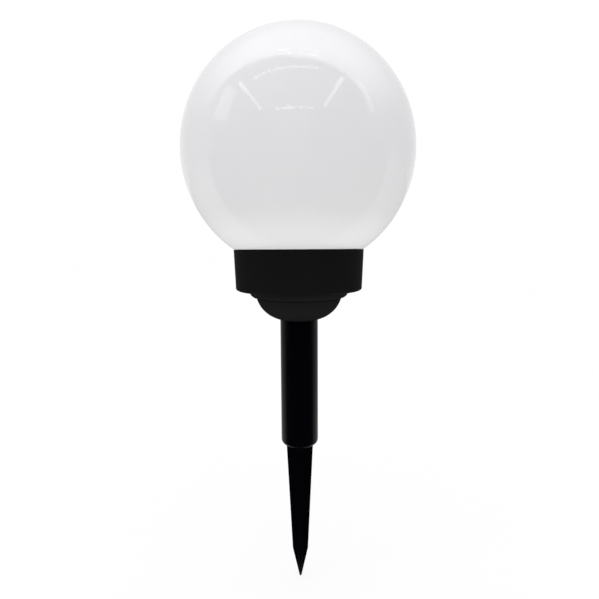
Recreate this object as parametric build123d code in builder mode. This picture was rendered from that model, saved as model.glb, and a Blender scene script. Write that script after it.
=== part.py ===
"""Solar spike light: an opal globe twisted into a black collar on a push-together stake.

Millimetres, +Z up. The origin is on the stake's axis at the ground line, where the tube's lower
rim stands on the soil and the finned spike goes in.
"""

import os
from math import acos, asin, cos, degrees, hypot, radians, sin, sqrt

from build123d import *

os.makedirs("parts", exist_ok=True)

# Stake
tube_diameter = 25.6
tube_wall = 2.5
tube_exposed = 88.2         # from the ground line to the bowl
tube_rim_round = 3.4
tube_end_block = 24.0       # thick lower end that takes the spike's plug
spigot_step = 1.0           # shoulder between the tube's wall and its spigot
spigot_lead = 0.6
plug_diameter = 14.8
plug_length = 21.0
plug_lead = 1.2
push_fit = 0.05             # per side, spike in tube and tube in bowl
end_gap = 0.5

# Ground spike
spike_length = 101.5
spike_width = 18.7          # across the fins at the ground line
point_width = 11.1          # across the fins where the point starts
point_length = 22.0
tip_width = 1.4
fin_thickness = 2.4
fin_root_round = 0.9

# Bowl and the quarter-round step above it
bowl_height = 15.0
bowl_step = 0.3             # ledge between bowl and quarter-round
bowl_wall = 2.0
bowl_curve_inset = 5.0      # the curve's centre lies this far inside the tube's wall
bowl_curve_rise = 4.3       # and this far above the ledge
ovolo_height = 4.75
ovolo_step = 4.4            # how far the quarter-round comes in
socket_wall = 2.2
socket_cap = 1.4

# Collar
collar_wall = 3.0
collar_taper = 1.0          # radius lost from rim to foot
collar_floor = 2.0
collar_ledge = 8.85         # underside left clear outside the quarter-round
foot_round_out = 3.0
foot_round_up = 1.75
rim_round = 0.4

# Globe, neck and bayonet
globe_diameter = 150.0
globe_wall = 1.8
rim_margin = 0.3            # the collar's rim stands this far outside the globe
neck_depth = 9.2
neck_clearance = 0.3
lug_count = 3
lug_width = 7.0
lug_reach = 1.2
lug_root = 0.6
lug_height = 2.0
lug_drop = 4.0              # from the rim to the lug's top
slot_clearance = 0.4
lock_turn = 18.0
seal_thickness = 1.5
seal_lip = 0.8              # the seal reaches this far inside the neck

# Solar panel and tray
panel_side = 44.0
panel_corner_room = 7.05    # from the panel's corner to the neck's inside
panel_thickness = 1.2
panel_recess = 0.8
panel_gap = 0.2
cell_strip_count = 4
cell_strip_gap = 0.8
cell_strip_thickness = 0.3
panel_border = 2.0
resin_thickness = 1.1
resin_inset = 0.6
tray_thickness = 2.0
tray_clearance = 0.35
tray_screw_angle = 53.0
tray_screw_inset = 4.5

# Screws
screw_diameter = 2.8
screw_head_diameter = 5.5
screw_head_height = 1.7
screw_length = 8.0
screw_gap = 0.05
screw_hole_gap = 0.25
pillar_wall = 1.8
boss_wall = 2.0
housing_screw_count = 4
housing_screw_turn = 45.0   # first screw, from +X
board_screw_diameter = 2.0
board_screw_head_diameter = 3.8
board_screw_head_height = 1.3
board_screw_length = 4.2
cross_width = 0.8
cross_depth = 0.8
head_round = 0.5

# Lamps and circuit board
led_diameter = 5.0
led_flange = 0.4
led_flange_height = 1.0
led_height = 8.6
led_spacing = 14.0
led_margin = 5.5            # from the panel's edge to the lamps
led_hole_gap = 0.1
lead_width = 0.5
lead_pitch = 2.54
lead_tail = 0.8
lead_hole_gap = 0.15
board_length = 27.0
board_width = 12.0
board_thickness = 1.2
board_drop = 3.5            # posts between tray and board
board_post_wall = 1.2
board_post_inset = 2.6
board_edge = 2.5            # from the lamps' row to the board's far edge
chip_length = 5.0
chip_width = 3.6
chip_height = 1.6
chip_chamfer = 0.2
inductor_diameter = 2.8
inductor_length = 5.6
inductor_round = 0.35
component_setback = 4.1     # from the lamps' row to the row of components
component_offset = 3.6

# Battery
battery_diameter = 10.5
battery_length = 44.5
button_diameter = 3.8
button_height = 1.0
sleeve_thickness = 0.2
sleeve_gap = 0.03
sleeve_setback = 0.4
holder_floor = 1.2
holder_wall = 1.2
holder_end = 1.4
holder_end_rise = 4.0
battery_clearance = 0.25
battery_headroom = 0.65     # between the battery and the tray
contact_thickness = 0.4
contact_size = 8.0
leaf_reach = 4.6
leaf_land = 1.6
leaf_return = 1.5

# Slide switch
switch_length = 8.6
switch_depth = 4.6
switch_height = 4.0
switch_offset = 3.0         # outside the quarter-round
switch_travel = 2.5
knob_length = 2.4
knob_depth = 1.6
knob_reach = 1.5
knob_flange = 0.5
knob_flange_height = 0.8
knob_clearance = 0.3

# Wires
wire_diameter = 1.1
wire_hole_gap = 0.3
wire_bend = 1.1
wire_wide_bend = 3.0
wire_stand_off = 4.4        # from the holder's end to the battery wires
wire_corner = 6.6           # corner that the battery wires cut across
wire_drop = 1.45            # the battery wires leave this far under the battery's axis
wire_side = 3.0
panel_wire_spread = 6.0
panel_wire_setback = 9.0    # from the panel's edge to its wires
pad_spread = 12.0
switch_wire_spread = 5.0
switch_wire_setback = 1.1   # from the lamps' row to the switch's pads

# Radii, worked out from the panel outwards
tube_radius = tube_diameter / 2
neck_inner = panel_side / sqrt(2) + panel_corner_room
neck_radius = neck_inner + globe_wall
bore_radius = neck_radius + neck_clearance
rim_radius = bore_radius + collar_wall
foot_radius = rim_radius - collar_taper
shoulder_radius = rim_radius - rim_margin
ovolo_radius = foot_radius - collar_ledge
ovolo_foot = ovolo_radius - ovolo_step
bowl_radius = ovolo_foot - bowl_step
spigot_radius = tube_radius - spigot_step
socket_radius = spigot_radius + push_fit
socket_outer = socket_radius + socket_wall
plug_radius = plug_diameter / 2
wire_radius = wire_diameter / 2
battery_radius = battery_diameter / 2
globe_radius = globe_diameter / 2
tray_radius = bore_radius - tray_clearance

# Heights, worked out from the ground up
z_bowl = tube_exposed
z_ovolo = z_bowl + bowl_height
z_collar = z_ovolo + ovolo_height
z_floor = z_collar + collar_floor
z_battery = z_floor + holder_floor + battery_clearance + battery_radius
z_tray = z_battery + battery_radius + battery_headroom
z_tray_top = z_tray + tray_thickness
z_neck_end = z_tray_top + seal_thickness
z_rim = z_neck_end + neck_depth
z_globe = z_rim + sqrt(globe_radius**2 - shoulder_radius**2)
z_panel = z_tray_top - panel_recess
z_cells = z_panel + panel_thickness
z_board = z_tray - board_drop - board_thickness
z_wire = z_battery - wire_drop
socket_depth = z_collar - z_bowl - socket_cap
spigot_length = socket_depth - end_gap


def save(builder, name):
    """Label a finished piece and write it to its own file."""
    builder.part.label = name
    export_step(builder.part, f"parts/{name}.step")


def mirrored_pair(x, y):
    """Two places, left and right of the YZ plane."""
    return [(-x, y), (x, y)]


# Ground spike: cross fins inside a pencil-shaped outline, with a round plug on top
with BuildPart() as ground_spike:
    with BuildSketch():
        Rectangle(spike_width, fin_thickness)
        Rectangle(fin_thickness, spike_width)
        inner_corners = vertices().sort_by(lambda v: hypot(v.X, v.Y))[:4]
        fillet(inner_corners, radius=fin_root_round)
    extrude(amount=-spike_length)
    with BuildSketch(Plane.XZ):
        with BuildLine():
            Polyline(
                (0, 0),
                (spike_width / 2, 0),
                (point_width / 2, point_length - spike_length),
                (tip_width / 2, -spike_length),
                (0, -spike_length),
                close=True,
            )
        make_face()
    revolve(axis=Axis.Z, mode=Mode.INTERSECT)
    with BuildSketch():
        Circle(plug_radius)
    extrude(amount=plug_length)
    chamfer(edges().group_by(Axis.Z)[-1], length=plug_lead)
save(ground_spike, "ground_spike")

# Stake tube: rounded lower rim, thick end for the plug, stepped spigot at the top
with BuildPart() as stake_tube:
    with BuildSketch(Plane.XZ):
        with BuildLine():
            Polyline(
                (plug_radius + push_fit, 0),
                (tube_radius, 0),
                (tube_radius, z_bowl),
                (spigot_radius, z_bowl),
                (spigot_radius, z_bowl + spigot_length),
                (tube_radius - tube_wall, z_bowl + spigot_length),
                (tube_radius - tube_wall, tube_end_block),
                (plug_radius + push_fit, tube_end_block),
                close=True,
            )
        make_face()
        fillet(vertices().group_by(Axis.Y)[0].sort_by(Axis.X)[-1], radius=tube_rim_round)
        chamfer(vertices().group_by(Axis.Y)[-1].sort_by(Axis.X)[-1], length=spigot_lead)
    revolve(axis=Axis.Z)
save(stake_tube, "stake_tube")

# Bowl: the outer skin filled to the axis, less a hollow that leaves the socket and the bosses
bowl_curve_centre = tube_radius - bowl_curve_inset
bowl_reach = bowl_radius - bowl_curve_centre
bowl_squash = (bowl_reach**2 - bowl_curve_inset**2) / (bowl_height**2 + 2 * bowl_height * bowl_curve_rise)
bowl_curve_width = sqrt(bowl_reach**2 + bowl_squash * bowl_curve_rise**2)
bowl_curve_height = bowl_curve_width / sqrt(bowl_squash)
bowl_curve_sweep = degrees(acos(bowl_curve_rise / bowl_curve_height))
bowl_middle = (bowl_curve_centre, z_ovolo + bowl_curve_rise)
hollow_width = bowl_curve_width - bowl_wall
hollow_height = bowl_curve_height - bowl_wall
hollow_sweep = degrees(acos(bowl_curve_rise / hollow_height))
hollow_radius = bowl_curve_centre + hollow_width * sin(radians(hollow_sweep))
housing_screw_circle = (socket_outer + hollow_radius) / 2
boss_radius = screw_diameter / 2 + boss_wall
housing_screw_spots = [
    (housing_screw_circle * cos(radians(a)), housing_screw_circle * sin(radians(a)))
    for a in (housing_screw_turn + 360 / housing_screw_count * i for i in range(housing_screw_count))
]

with BuildPart() as bowl_hollow:
    with BuildSketch(Plane.XZ):
        with BuildLine():
            hollow_curve = EllipticalCenterArc(
                bowl_middle, hollow_width, hollow_height, start_angle=-90, arc_size=hollow_sweep
            )
            Polyline(
                hollow_curve @ 1,
                (hollow_radius, z_collar),
                (0, z_collar),
                (0, (hollow_curve @ 0).Y),
                hollow_curve @ 0,
            )
        make_face()
    revolve(axis=Axis.Z)
    with BuildSketch(Plane.XY.offset(z_bowl)):
        Circle(socket_outer)
        with Locations(*housing_screw_spots):
            Circle(boss_radius)
    extrude(amount=z_collar - z_bowl, mode=Mode.SUBTRACT)

with BuildPart() as bowl:
    with BuildSketch(Plane.XZ):
        with BuildLine():
            bowl_curve = EllipticalCenterArc(
                bowl_middle, bowl_curve_width, bowl_curve_height, start_angle=-90, arc_size=bowl_curve_sweep
            )
            Line(bowl_curve @ 1, (ovolo_foot, z_ovolo))
            ovolo_curve = EllipticalCenterArc(
                (ovolo_foot, z_collar), ovolo_step, ovolo_height, start_angle=-90, arc_size=90
            )
            Polyline(
                ovolo_curve @ 1,
                (0, z_collar),
                (0, (bowl_curve @ 0).Y),
                bowl_curve @ 0,
            )
        make_face()
    revolve(axis=Axis.Z)
    split(bisect_by=Plane.XY.offset(z_bowl), keep=Keep.TOP)
    add(bowl_hollow.part, mode=Mode.SUBTRACT)
    with BuildSketch(Plane.XY.offset(z_bowl)):
        Circle(socket_radius)
    extrude(amount=socket_depth, mode=Mode.SUBTRACT)
    with Locations(Plane.XY.offset(z_collar)):
        with Locations(*housing_screw_spots):
            Hole(screw_diameter / 2 + screw_gap, depth=screw_length - collar_floor + end_gap)
save(bowl, "bowl")

# Collar: a cup with a floor, pillars for the tray, bayonet slots in its bore and a switch slot
tray_screw_circle = neck_inner - tray_screw_inset
tray_screw_spots = [
    (tray_screw_circle * cos(radians(a)), tray_screw_circle * sin(radians(a)))
    for half_turn in (0, 180)
    for a in (half_turn + tray_screw_angle, half_turn - tray_screw_angle)
]
pillar_radius = screw_diameter / 2 + pillar_wall
lug_angle = degrees(asin((lug_width / 2 + slot_clearance) / neck_radius))
slot_radius = hypot(neck_radius + lug_reach, lug_width / 2) + slot_clearance
slot_bottom = z_rim - lug_drop - lug_height - slot_clearance
slot_top = z_rim - lug_drop + slot_clearance
slot_entry = (z_rim, 2 * lug_angle)
slot_lock = (slot_top, 2 * lug_angle + lock_turn)
switch_y = ovolo_radius + switch_offset

with BuildPart() as collar:
    with BuildSketch(Plane.XZ):
        with BuildLine():
            foot_curve = EllipticalCenterArc(
                (foot_radius - foot_round_out, z_collar + foot_round_up),
                foot_round_out,
                foot_round_up,
                start_angle=-90,
                arc_size=90,
            )
            Polyline(
                foot_curve @ 1,
                (rim_radius, z_rim),
                (bore_radius, z_rim),
                (bore_radius, z_floor),
                (0, z_floor),
                (0, z_collar),
                foot_curve @ 0,
            )
        make_face()
        fillet(vertices().group_by(Axis.Y)[-1].sort_by(Axis.X)[-1], radius=rim_round)
    revolve(axis=Axis.Z)
    with BuildSketch(Plane.XY.offset(z_floor)):
        with Locations(*tray_screw_spots):
            Circle(pillar_radius)
    extrude(amount=z_tray - z_floor)
    with Locations(Plane.XY.offset(z_tray)):
        with Locations(*tray_screw_spots):
            Hole(screw_diameter / 2 + screw_gap, depth=screw_length - tray_thickness + end_gap)
    with Locations(Plane.XY.offset(z_floor)):
        with Locations(*housing_screw_spots):
            Hole(screw_diameter / 2 + screw_hole_gap, depth=collar_floor)
    for lug in range(lug_count):
        start = 360 / lug_count * lug - lug_angle
        for top, arc in (slot_entry, slot_lock):
            with BuildSketch(Plane.XZ.rotated((0, 0, start))):
                with Locations((neck_inner, slot_bottom)):
                    Rectangle(slot_radius - neck_inner, top - slot_bottom, align=(Align.MIN, Align.MIN))
            revolve(axis=Axis.Z, revolution_arc=arc, mode=Mode.SUBTRACT)
    with BuildSketch(Plane.XY.offset(z_collar)):
        with Locations((0, switch_y)):
            Rectangle(knob_length + switch_travel + 2 * knob_clearance, knob_depth + 2 * knob_clearance)
    extrude(amount=collar_floor, mode=Mode.SUBTRACT)
save(collar, "collar")

# Globe: a ball with a flat shoulder on the collar's rim, a neck inside it and three lugs
with BuildPart() as globe:
    inner_radius = globe_radius - globe_wall
    shoulder_angle = degrees(asin((z_globe - z_rim) / globe_radius))
    z_inner = z_rim + globe_wall
    inner_angle = degrees(asin((z_globe - z_inner) / inner_radius))
    with BuildSketch(Plane.XZ):
        with BuildLine():
            outer_curve = CenterArc((0, z_globe), globe_radius, 90, -90 - shoulder_angle)
            inner_curve = CenterArc((0, z_globe), inner_radius, -inner_angle, 90 + inner_angle)
            Polyline(
                outer_curve @ 1,
                (neck_radius, z_rim),
                (neck_radius, z_neck_end),
                (neck_inner, z_neck_end),
                (neck_inner, z_inner),
                inner_curve @ 0,
            )
            Line(inner_curve @ 1, outer_curve @ 0)
        make_face()
    revolve(axis=Axis.Z)
    with BuildSketch(Plane.XY.offset(z_rim - lug_drop - lug_height)):
        with PolarLocations(neck_radius - lug_root, lug_count):
            Rectangle(lug_root + lug_reach, lug_width, align=(Align.MIN, Align.CENTER))
    extrude(amount=lug_height)
save(globe, "globe")

# Seal ring, pressed between the neck's end and the tray
with BuildPart() as globe_seal:
    with BuildSketch(Plane.XY.offset(z_tray_top)):
        Circle(tray_radius)
        Circle(neck_inner - seal_lip, mode=Mode.SUBTRACT)
    extrude(amount=seal_thickness)
save(globe_seal, "globe_seal")

# Tray: a disc with the panel's recess on top and two posts for the board below
led_y = panel_side / 2 + led_margin
board_y = led_y + board_edge - board_width / 2
board_low_y = board_y - board_width / 2
board_post_spots = mirrored_pair(board_length / 2 - board_post_inset, board_low_y + board_post_inset)
board_post_radius = board_screw_diameter / 2 + board_post_wall
led_spots = mirrored_pair(led_spacing / 2, led_y)
panel_wire_y = panel_side / 2 - panel_wire_setback
panel_wire_spots = mirrored_pair(panel_wire_spread / 2, panel_wire_y)
wire_hole = wire_radius + wire_hole_gap

with BuildPart() as panel_tray:
    with BuildSketch(Plane.XY.offset(z_tray)):
        Circle(tray_radius)
    extrude(amount=tray_thickness)
    with BuildSketch(Plane.XY.offset(z_panel)):
        Rectangle(panel_side + 2 * panel_gap, panel_side + 2 * panel_gap)
    extrude(amount=panel_recess, mode=Mode.SUBTRACT)
    with BuildSketch(Plane.XY.offset(z_tray)):
        with Locations(*board_post_spots):
            Circle(board_post_radius)
    extrude(amount=-board_drop)
    with BuildSketch(Plane.XY.offset(z_tray)):
        with Locations(*led_spots):
            Circle(led_diameter / 2 + led_hole_gap)
        with Locations(*tray_screw_spots):
            Circle(screw_diameter / 2 + screw_hole_gap)
        with Locations(*panel_wire_spots):
            Circle(wire_hole)
    extrude(amount=tray_thickness, mode=Mode.SUBTRACT)
    with BuildSketch(Plane.XY.offset(z_tray - board_drop)):
        with Locations(*board_post_spots):
            Circle(board_screw_diameter / 2 + screw_gap)
    extrude(amount=board_screw_length - board_thickness + end_gap, mode=Mode.SUBTRACT)
save(panel_tray, "panel_tray")


# Pan-head screws with a cross recess
def pan_screws(spots, seat, diameter, length, head_diameter, head_height, way):
    """A group of screws whose heads stand on the plane `seat`, on the side that `way` (1 or -1) gives."""
    with BuildPart() as screws:
        with BuildSketch(Plane.XY.offset(seat)):
            with Locations(*spots):
                Circle(head_diameter / 2)
        extrude(amount=way * head_height)
        outer_rims = edges().group_by(Axis.Z)[-1 if way > 0 else 0]
        fillet(outer_rims, radius=head_round)
        with BuildSketch(Plane.XY.offset(seat)):
            with Locations(*spots):
                Circle(diameter / 2)
        extrude(amount=-way * length)
        with BuildSketch(Plane.XY.offset(seat + way * head_height)):
            with Locations(*spots):
                Rectangle(head_diameter / 2, cross_width)
                Rectangle(cross_width, head_diameter / 2)
        extrude(amount=-way * cross_depth, mode=Mode.SUBTRACT)
    return screws


housing_screws = pan_screws(
    housing_screw_spots, z_floor, screw_diameter, screw_length, screw_head_diameter, screw_head_height, 1
)
save(housing_screws, "housing_screws")
tray_screws = pan_screws(
    tray_screw_spots, z_tray_top, screw_diameter, screw_length, screw_head_diameter, screw_head_height, 1
)
save(tray_screws, "tray_screws")
board_screws = pan_screws(
    board_post_spots,
    z_board,
    board_screw_diameter,
    board_screw_length,
    board_screw_head_diameter,
    board_screw_head_height,
    -1,
)
save(board_screws, "board_screws")

# Solar panel: backing board, four silicon strips and the clear resin cast over them
strip_field = panel_side - 2 * panel_border
strip_width = (strip_field - (cell_strip_count - 1) * cell_strip_gap) / cell_strip_count

with BuildPart() as panel_board:
    with BuildSketch(Plane.XY.offset(z_panel)):
        Rectangle(panel_side, panel_side)
    extrude(amount=panel_thickness)
save(panel_board, "panel_board")

with BuildPart() as solar_cells:
    with BuildSketch(Plane.XY.offset(z_cells)):
        with GridLocations(strip_width + cell_strip_gap, 1, cell_strip_count, 1):
            Rectangle(strip_width, strip_field)
    extrude(amount=cell_strip_thickness)
save(solar_cells, "solar_cells")

with BuildPart() as panel_resin:
    with BuildSketch(Plane.XY.offset(z_cells)):
        Rectangle(panel_side - 2 * resin_inset, panel_side - 2 * resin_inset)
    extrude(amount=resin_thickness)
    add(solar_cells.part, mode=Mode.SUBTRACT)
save(panel_resin, "panel_resin")


# Lamps: a flange under the tray and a domed lens through it
def led(x):
    """One lamp on the row at `x`."""
    low = z_tray - led_flange_height
    radius = led_diameter / 2
    with BuildPart() as lamp:
        with BuildSketch(Plane.XY.offset(low)):
            with Locations((x, led_y)):
                Circle(radius + led_flange)
        extrude(amount=led_flange_height)
        with BuildSketch(Plane.XY.offset(z_tray)):
            with Locations((x, led_y)):
                Circle(radius)
        extrude(amount=led_height - led_flange_height - radius)
        with Locations((x, led_y, low + led_height - radius)):
            Sphere(radius, arc_size1=0, align=(Align.CENTER, Align.CENTER, Align.MIN))
    return lamp


led_left = led(-led_spacing / 2)
save(led_left, "led_left")
led_right = led(led_spacing / 2)
save(led_right, "led_right")

lead_spots = [(x + side * lead_pitch / 2, y) for x, y in led_spots for side in (-1, 1)]
with BuildPart() as led_leads:
    with BuildSketch(Plane.XY.offset(z_tray - led_flange_height)):
        with Locations(*lead_spots):
            Rectangle(lead_width, lead_width)
    extrude(amount=z_board - lead_tail - z_tray + led_flange_height)
save(led_leads, "led_leads")

# Circuit board with its chip and inductor underneath
with BuildPart() as circuit_board:
    with BuildSketch(Plane.XY.offset(z_board)):
        with Locations((0, board_y)):
            Rectangle(board_length, board_width)
        with Locations(*lead_spots):
            Circle(lead_width / sqrt(2) + lead_hole_gap, mode=Mode.SUBTRACT)
        with Locations(*board_post_spots):
            Circle(board_screw_diameter / 2 + screw_hole_gap, mode=Mode.SUBTRACT)
    extrude(amount=board_thickness)
save(circuit_board, "circuit_board")

component_y = led_y - component_setback
with BuildPart() as driver_chip:
    with BuildSketch(Plane.XY.offset(z_board)):
        with Locations((-component_offset, component_y)):
            Rectangle(chip_length, chip_width)
    extrude(amount=-chip_height)
    chamfer(edges().group_by(Axis.Z)[0], length=chip_chamfer)
save(driver_chip, "driver_chip")

inductor_plane = Plane(
    origin=(component_offset - inductor_length / 2, component_y, z_board - inductor_diameter / 2),
    x_dir=(0, 1, 0),
    z_dir=(1, 0, 0),
)
with BuildPart() as inductor:
    with BuildSketch(inductor_plane):
        Circle(inductor_diameter / 2)
    extrude(amount=inductor_length)
    fillet(edges().filter_by(GeomType.CIRCLE), radius=inductor_round)
save(inductor, "inductor")

# Battery, lying along X in an open holder between two contacts
bay_half = contact_thickness + (leaf_reach + battery_length) / 2
x_negative = leaf_reach + contact_thickness - bay_half
x_positive = x_negative + battery_length
battery_axis = Axis((0, 0, z_battery), (1, 0, 0))
can_radius = battery_radius - sleeve_thickness - sleeve_gap
holder_half_width = battery_radius + battery_clearance + holder_wall
holder_half_length = bay_half + holder_end
z_holder = z_floor + holder_floor

with BuildPart() as battery_can:
    with BuildSketch(Plane.XZ):
        with BuildLine():
            Polyline(
                (x_negative, z_battery),
                (x_negative, z_battery + can_radius),
                (x_positive - button_height, z_battery + can_radius),
                (x_positive - button_height, z_battery + button_diameter / 2),
                (x_positive, z_battery + button_diameter / 2),
                (x_positive, z_battery),
                close=True,
            )
        make_face()
    revolve(axis=battery_axis)
save(battery_can, "battery_can")

sleeve_plane = Plane(
    origin=(x_negative + sleeve_setback, 0, z_battery), x_dir=(0, 1, 0), z_dir=(1, 0, 0)
)
with BuildPart() as battery_sleeve:
    with BuildSketch(sleeve_plane):
        Circle(battery_radius)
        Circle(can_radius + sleeve_gap, mode=Mode.SUBTRACT)
    extrude(amount=battery_length - button_height - 2 * sleeve_setback)
save(battery_sleeve, "battery_sleeve")

with BuildPart() as battery_holder:
    with BuildSketch(Plane.XY.offset(z_floor)):
        Rectangle(2 * holder_half_length, 2 * holder_half_width)
    extrude(amount=z_battery - z_floor)
    with BuildSketch(Plane.XY.offset(z_battery)):
        with GridLocations(2 * bay_half + holder_end, 1, 2, 1):
            Rectangle(holder_end, 2 * holder_half_width)
    extrude(amount=holder_end_rise)
    with BuildSketch(Plane.XY.offset(z_holder)):
        Rectangle(2 * bay_half, 2 * (battery_radius + battery_clearance))
    extrude(amount=battery_diameter, mode=Mode.SUBTRACT)
    with BuildSketch(Plane(origin=(-holder_half_length, 0, z_wire), x_dir=(0, 1, 0), z_dir=(1, 0, 0))):
        with Locations((wire_side, 0)):
            Circle(wire_hole)
    extrude(amount=2 * holder_half_length, mode=Mode.SUBTRACT)
save(battery_holder, "battery_holder")

with BuildPart() as contact_positive:
    with BuildSketch(Plane(origin=(x_positive, 0, z_holder), x_dir=(0, 1, 0), z_dir=(1, 0, 0))):
        Rectangle(contact_size, contact_size, align=(Align.CENTER, Align.MIN))
    extrude(amount=contact_thickness)
save(contact_positive, "contact_positive")

# The negative contact: a back plate with a leaf bent forward to the battery
leaf_back = contact_thickness / 2 - bay_half
leaf_front = x_negative - contact_thickness / 2
leaf_top = z_holder + contact_size
with BuildPart() as contact_negative:
    with BuildSketch(Plane.XZ.offset(-contact_size / 2)):
        with BuildLine():
            Polyline(
                (leaf_back, z_holder),
                (leaf_back, leaf_top),
                (leaf_front, z_battery + leaf_land / 2),
                (leaf_front, z_battery - leaf_land / 2),
                (leaf_back + leaf_return, z_battery - leaf_land),
            )
        trace(line_width=contact_thickness)
    extrude(amount=contact_size)
save(contact_negative, "contact_negative")

# Slide switch on the collar's floor, its knob through the floor's slot
z_knob_flange = z_floor + knob_clearance
cavity_height = knob_clearance + knob_flange_height + knob_clearance
flange_length = knob_length + 2 * knob_flange
flange_depth = knob_depth + 2 * knob_flange

with BuildPart() as switch_body:
    with BuildSketch(Plane.XY.offset(z_floor)):
        with Locations((0, switch_y)):
            Rectangle(switch_length, switch_depth)
    extrude(amount=switch_height)
    with BuildSketch(Plane.XY.offset(z_floor)):
        with Locations((0, switch_y)):
            Rectangle(flange_length + switch_travel + 2 * knob_clearance, flange_depth + 2 * knob_clearance)
    extrude(amount=cavity_height, mode=Mode.SUBTRACT)
save(switch_body, "switch_body")

with BuildPart() as switch_knob:
    with BuildSketch(Plane.XY.offset(z_knob_flange)):
        with Locations((-switch_travel / 2, switch_y)):
            Rectangle(flange_length, flange_depth)
    extrude(amount=knob_flange_height)
    with BuildSketch(Plane.XY.offset(z_knob_flange)):
        with Locations((-switch_travel / 2, switch_y)):
            Rectangle(knob_length, knob_depth)
    extrude(amount=z_collar - knob_reach - z_knob_flange)
    fillet(edges().group_by(Axis.Z)[0], radius=knob_clearance)
save(switch_knob, "switch_knob")


# Wires: straight runs and round bends, square to what they are soldered to
def wire(points, bends):
    """A round wire through `points`, with one bend radius for each inner point."""
    with BuildPart() as run:
        with BuildLine():
            FilletPolyline(*points, radius=bends)
        with BuildSketch(Plane(origin=points[0], z_dir=Vector(points[1]) - Vector(points[0]))):
            Circle(wire_radius)
        sweep()
    return run


pad_y = board_low_y + board_post_inset
z_board_top = z_board + board_thickness
z_over_board = z_board_top + board_drop / 2
pad_x = pad_spread / 2
wire_out = holder_half_length + wire_stand_off
z_switch = z_floor + switch_height
z_under_board = (z_switch + z_board) / 2
switch_pad_y = led_y + switch_wire_setback

for side, polarity in ((-1, "negative"), (1, "positive")):
    panel_x = side * panel_wire_spread / 2
    panel_wire = wire(
        [
            (panel_x, panel_wire_y, z_panel),
            (panel_x, panel_wire_y, z_over_board),
            (panel_x, pad_y, z_over_board),
            (panel_x, pad_y, z_board_top),
        ],
        [wire_bend, wire_bend],
    )
    save(panel_wire, f"wire_panel_{polarity}")
    battery_wire = wire(
        [
            (side * bay_half, wire_side, z_wire),
            (side * wire_out, wire_side, z_wire),
            (side * wire_out, pad_y - wire_corner, z_wire),
            (side * (wire_out - wire_corner), pad_y, z_wire),
            (side * pad_x, pad_y, z_wire),
            (side * pad_x, pad_y, z_board),
        ],
        [wire_wide_bend, wire_wide_bend, wire_wide_bend, wire_bend],
    )
    save(battery_wire, f"wire_battery_{polarity}")

for side, place in ((-1, "left"), (1, "right")):
    switch_x = side * switch_wire_spread / 2
    switch_wire = wire(
        [
            (switch_x, switch_y, z_switch),
            (switch_x, switch_y, z_under_board),
            (switch_x, switch_pad_y, z_under_board),
            (switch_x, switch_pad_y, z_board),
        ],
        [wire_bend, wire_bend],
    )
    save(switch_wire, f"wire_switch_{place}")
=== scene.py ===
"""Looks of the solar spike light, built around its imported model.

Lengths in the classes are millimetres and become metres where a mesh is made. +Z is up, -Y is the
side that the camera sees, and the origin is at the ground line on the stake's axis.
"""

import logging
import math
from dataclasses import dataclass, field
from enum import Enum
from itertools import pairwise
from typing import Any, Callable, Sequence

import bmesh
import bpy
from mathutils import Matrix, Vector


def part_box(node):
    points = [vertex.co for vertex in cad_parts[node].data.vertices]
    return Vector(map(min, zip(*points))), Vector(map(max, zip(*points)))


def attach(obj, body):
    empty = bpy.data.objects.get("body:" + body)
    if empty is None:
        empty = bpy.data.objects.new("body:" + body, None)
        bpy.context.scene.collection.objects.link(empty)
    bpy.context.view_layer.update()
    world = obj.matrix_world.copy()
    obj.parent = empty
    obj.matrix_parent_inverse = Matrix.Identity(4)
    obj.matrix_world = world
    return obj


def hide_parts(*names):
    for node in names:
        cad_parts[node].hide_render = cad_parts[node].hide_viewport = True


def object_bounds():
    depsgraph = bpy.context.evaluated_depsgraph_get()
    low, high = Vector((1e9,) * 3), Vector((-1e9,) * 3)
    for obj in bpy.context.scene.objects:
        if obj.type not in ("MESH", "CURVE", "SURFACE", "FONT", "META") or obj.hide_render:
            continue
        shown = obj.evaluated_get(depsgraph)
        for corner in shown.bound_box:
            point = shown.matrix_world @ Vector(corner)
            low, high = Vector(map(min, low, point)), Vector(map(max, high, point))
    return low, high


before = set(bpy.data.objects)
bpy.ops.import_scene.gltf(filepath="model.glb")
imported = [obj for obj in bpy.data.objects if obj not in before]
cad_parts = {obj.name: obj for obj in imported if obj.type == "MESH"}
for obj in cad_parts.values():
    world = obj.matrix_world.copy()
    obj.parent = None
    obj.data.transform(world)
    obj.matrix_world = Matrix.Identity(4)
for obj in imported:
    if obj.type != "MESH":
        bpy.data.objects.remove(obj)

LOG = logging.getLogger("spike_light")
CAD_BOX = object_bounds()

MM = 0.001
TURN_STEPS = 144
ROD_STEPS = 32
LEAST_STEPS = 5
MERGE_DISTANCE = 1e-6
SMOOTH_ANGLE = math.radians(32)
# degrees that keep the facets of rods, and of the bores in them, off those of what they meet
ROD_TWIST = 4.0
BORE_TWIST = 9.6
# millimetres that a cutting tool goes past a face, and that an added post reaches below one
PAST = 1.0
ROOT = 0.5
# where collar and tray meet: the tray's underside, and the place and the holes of its screws
TRAY_UNDER = 122.55
TRAY_SCREW = (20.26, 26.88)
SCREW_HOLE = 1.65
# millimetres within which two places count as one
NEAR = 0.01
PHOTO_SIDE = 599
SENSOR_WIDTH = 36.0
WHITE = "#FFFFFF"
# numbers of a Mix node's inputs and output for colours, whose names occur more than once
MIX_SHARE, MIX_UNDER, MIX_OVER = 0, 6, 7
MIX_RESULT = 2

Point = tuple[float, float]
Place = tuple[float, float, float]
Piece = bpy.types.Object
Tree = bpy.types.NodeTree
Node = bpy.types.Node
Socket = bpy.types.NodeSocket


class Body(Enum):
    """The bodies that the joints move."""

    SPIKE = "spike"
    TUBE = "tube"
    HEAD = "head"
    SEAL = "seal"
    GLOBE = "globe"
    SWITCH = "switch"


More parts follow.
